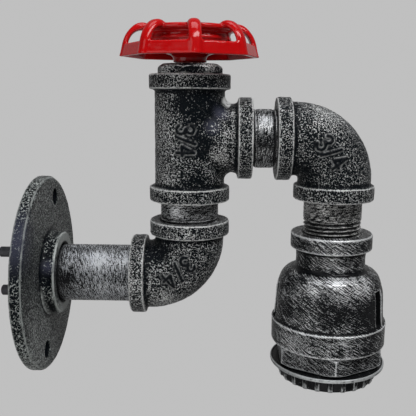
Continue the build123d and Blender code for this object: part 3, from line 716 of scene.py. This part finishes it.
# ------------------------------------------------------------------ nipples
def nipple(node, name, axis, px, pz, z0, z1, material, threads=(), r=13.35, bore=10.5, pitch=1.814, seed=1, extra_r=(), bare=None):
    """Pipe nipple along its axis, with what shows of its taper threads at `threads`, as (from, to)."""
    na, step = 144, 0.22
    nz = int((z1 - z0) / step) + 1
    h = np.linspace(z0, z1, nz)
    ang = np.linspace(0, 2 * math.pi, na, endpoint=False)
    A, H = np.meshgrid(ang, h)
    R = np.full_like(A, r)
    crest, groove = np.zeros_like(A), np.zeros_like(A)
    for t0, t1, depth in threads:
        ph = (H / pitch - A / (2 * math.pi)) % 1.0
        saw = np.abs(ph * 2 - 1)
        prof = np.clip(saw * 1.35, 0, 1)
        run = np.clip((H - t0) / 1.3, 0, 1) * np.clip((t1 - H) / 1.3, 0, 1)
        R = R - depth * prof * run
        crest = np.maximum(crest, np.clip(1 - prof * 3.2, 0, 1) * run)
        groove = np.maximum(groove, np.clip(prof * 2.2 - 0.55, 0, 1) * np.clip(run * 1.5, 0, 1))
    for t0, t1, dr in extra_r:
        R = R + dr * np.clip((H - t0) / 0.25, 0, 1) * np.clip((t1 - H) / 0.25, 0, 1)
    end = np.minimum(H - z0, z1 - H)
    R = R - np.clip(0.9 - end * 0.64, 0, 0.9)
    pts = np.stack([R * np.cos(A), R * np.sin(A), H], -1)
    flat = pts.reshape(-1, 3)
    R = R + (0.035 * noise(flat / 2.6, seed) + 0.02 * noise(flat / 1.1, seed + 4)).reshape(R.shape)
    px_, py_ = R * np.cos(A), R * np.sin(A)
    inner_x, inner_y = bore * np.cos(ang), bore * np.sin(ang)
    rows = [np.stack([px_[i], py_[i], H[i]], 1) for i in range(nz)]
    for hh in (z1, z0):
        rows.append(np.stack([inner_x, inner_y, np.full(na, hh)], 1))
    co = np.concatenate(rows)
    if axis == "X":
        co = np.stack([co[:, 2], co[:, 0], co[:, 1] + pz], 1)
    else:
        co = np.stack([co[:, 0] + px, co[:, 1], co[:, 2]], 1)
    faces = []
    m = len(rows)
    for i in range(m):
        j = (i + 1) % m
        for k in range(na):
            k2 = (k + 1) % na
            faces.append((i * na + k, i * na + k2, j * na + k2, j * na + k))
    me = bpy.data.meshes.new(name)
    me.from_pydata((co * MM).tolist(), [], faces)
    me.update()
    tail = np.zeros(2 * na)
    store(me, "edge", np.concatenate([crest.ravel() * 0.8, tail]))
    store(me, "pit", np.zeros(len(co)))
    store(me, "bright", np.zeros(len(co)))
    plainly = groove.ravel() * 0.9
    if bare is not None:
        plainly = np.maximum(plainly, np.clip(bare(H.ravel(), A.ravel()), 0, 1))
    store(me, "bare", np.concatenate([plainly, tail]))
    return seat(me, name, "light_body", "pipe_brushed", material, node)


def socket_shell():
    """The lampholder's thin brass screw shell, its round thread rolled inwards."""
    na, z0, z1, pitch = 120, -46.9, -28.0, 3.629
    ang = np.linspace(0, 2 * math.pi, na, endpoint=False)
    rise = np.linspace(z0, z1, 110)

    def rolled(h, r, depth):
        run = min(max((h - z0 - 0.6) / 1.4, 0), 1) * min(max((z1 - 1.2 - h) / 1.6, 0), 1)
        return r - depth * run * (0.5 - 0.5 * np.cos(2 * math.pi * (h / pitch) - ang))

    rings = [(np.full(na, h), rolled(h, 13.32, 1.15)) for h in rise]
    rings += [(np.full(na, h), np.full(na, r)) for h, r in ((-28.0, 14.8), (-28.0, 16.2), (-28.1, 16.3), (-28.45, 16.3), (-28.55, 16.2),
                                                            (-28.55, 14.8))]
    rings += [(np.full(na, h), rolled(h, 13.72, 1.15)) for h in rise[::-1] if -46.2 < h < -28.75]
    rings += [(np.full(na, h), np.full(na, r)) for h, r in ((-46.35, 13.9), (-46.5, 14.35), (-46.6, 14.4), (-46.85, 14.4), (-46.9, 14.2))]
    co = np.concatenate([np.stack([r * np.cos(ang) + X2, r * np.sin(ang), h], 1) for h, r in rings])
    m = len(rings)
    faces = [(i * na + k, (i + 1) % m * na + k, (i + 1) % m * na + (k + 1) % na, i * na + (k + 1) % na)
             for i in range(m) for k in range(na)]
    me = bpy.data.meshes.new("screw_shell")
    me.from_pydata((co * MM).tolist(), [], faces)
    me.update()
    return me


def span(node, k):
    lo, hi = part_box(node)
    return lo[k] / MM, hi[k] / MM


# The spots at (30, -10, 9) and (46, -10, 9) add silver along the upper side of the pipe as a painted highlight.
n1 = brushed("pipe_flange", "X", pz=0, slant=-14, base=0.62, patch=0.35, cross=0.22, along=390, across=3900, silver=(0.39, 0.405, 0.425),
             spots=((30, -10, 9, 10, 0.36), (46, -10, 9, 10, 0.36), (15, -13, 0, 8, -0.45), (50, -10, -10, 12, 0.12), (34, -10, -10, 12, 0.12)))
# The spot at (66, -12, 31.5) adds silver on the riser as a painted highlight.
n2 = brushed("pipe_riser", "Z", px=X1, slant=8, base=0.57, patch=0.65, silver=(0.56, 0.57, 0.58), spots=((66, -12, 31.5, 7, 0.25),))
# The spot at (105, -10, 72) adds silver on the top of the arm pipe as a painted highlight; the one at (105, -13, 63)
# makes it darker below.
n3 = brushed("pipe_arm", "X", pz=ZT, slant=4, base=0.52, along=210, spots=((105, -10, 72, 8, 0.26), (105, -13, 63, 6, -0.12)))
n4 = brushed("pipe_drop", "Z", px=X2, slant=6, base=0.56, patch=0.6, silver=(0.58, 0.58, 0.57))
a, b = span("flange_nipple", 0)
nipple("flange_nipple", "flange_nipple_pipe", "X", 0, 0, a, b, n1, seed=31, bare=lambda h, t: (15.0 - h) / 3.5)
a, b = span("riser_nipple", 2)
nipple("riser_nipple", "riser_nipple_pipe", "Z", X1, 0, a, b, n2, threads=((a, 29.0, 0.5), (34.2, b, 0.5)), seed=33)
a, b = span("arm_nipple", 0)
nipple("arm_nipple", "arm_nipple_pipe", "X", 0, ZT, a, b, n3, threads=((a, 102.6, 0.5), (108.6, b, 0.5)), seed=35)
a, b = span("drop_nipple", 2)
nipple("drop_nipple", "drop_nipple_pipe", "Z", X2, 0, a, b, n4, threads=((a, 28.2, 0.95),), seed=37)


# ------------------------------------------------------------------ pieces kept from the frame
def paint(node, material):
    me = nodes[node].data
    if me.materials:
        for i in range(len(me.materials)):
            me.materials[i] = material
    else:
        me.materials.append(material)


steel_dark = plain("black_steel", (0.010, 0.011, 0.014), (0.022, 0.023, 0.028), (0.28, 0.42), 0.3, 260, 0.2, 0.1, wear=(0.05, 0.05, 0.055))
for k in ("rear_studs", "stud_plate"):
    paint(k, steel_dark)
paint("inlet_grommet", plain("rubber", (0.011, 0.011, 0.011), (0.020, 0.020, 0.020), (0.6, 0.75), 0.0, 500, 0.3, 0.1))
paint("spindle_washer", plain("fibre", (0.22, 0.03, 0.02), (0.34, 0.06, 0.04), (0.7, 0.85), 0.0, 700, 0.4, 0.1))
zinc = plain("zinc_steel", (0.42, 0.43, 0.44), (0.62, 0.63, 0.64), (0.24, 0.40), 1.0, 420, 0.2, 0.05, wear=(0.30, 0.30, 0.30))
for k in ("spindle_clip", "wheel_washer", "wheel_screw", "earth_screw", "cap_screws", "terminal_screws", "contact_spring", "earth_tag"):
    paint(k, zinc)
paint("valve_spindle", turned_metal("spindle_steel", "Z", X1, 0, (0.36, 0.37, 0.38), (0.52, 0.53, 0.54)))
moulding = plain("black_moulding", (0.010, 0.010, 0.011), (0.018, 0.018, 0.019), (0.28, 0.40), 0.0, 350, 0.15, 0.08)
for k in ("holder_body", "holder_cap"):
    paint(k, moulding)
paint("contact_base", plain("steatite", (0.66, 0.63, 0.56), (0.78, 0.76, 0.70), (0.45, 0.6), 0.0, 600, 0.25, 0.08, wear=(0.45, 0.42, 0.36)))
brass = plain("brass", (0.60, 0.42, 0.14), (0.74, 0.56, 0.22), (0.22, 0.38), 1.0, 380, 0.2, 0.05, wear=(0.38, 0.26, 0.10))
for k in ("centre_contact", "live_strip", "neutral_strip", "terminal_blocks"):
    paint(k, brass)
seat(socket_shell(), "screw_shell_threaded", "light_body", "brass", brass, "screw_shell")
paint("live_lead", plain("lead_brown", (0.10, 0.035, 0.016), (0.14, 0.05, 0.024), (0.35, 0.5), 0.0, 500, 0.15, 0.05))
paint("neutral_lead", plain("lead_blue", (0.012, 0.07, 0.26), (0.02, 0.10, 0.34), (0.35, 0.5), 0.0, 500, 0.15, 0.05))


def earth_colours():
    m = Mat("lead_green_yellow")
    x, y, z = m.split(m.tc)
    s = m.math("SINE", m.math("MULTIPLY", y, 2600.0))
    f = m.ramp(s, -0.05, 0.05)
    f2 = m.noise(m.tc, 700, 2)[0]
    c = m.mix(f, (0.03, 0.20, 0.03), (0.72, 0.58, 0.03))
    m.l(m.mix(m.math("MULTIPLY", f2, 0.15), c, (0.02, 0.02, 0.02)), m.b.inputs["Base Color"])
    m.l(m.ramp(f2, 0.3, 0.7, 0.35, 0.5), m.b.inputs["Roughness"])
    m.l(m.bump(f2, 0.15, 0.05), m.b.inputs["Normal"])
    return m.m


paint("earth_lead", earth_colours())
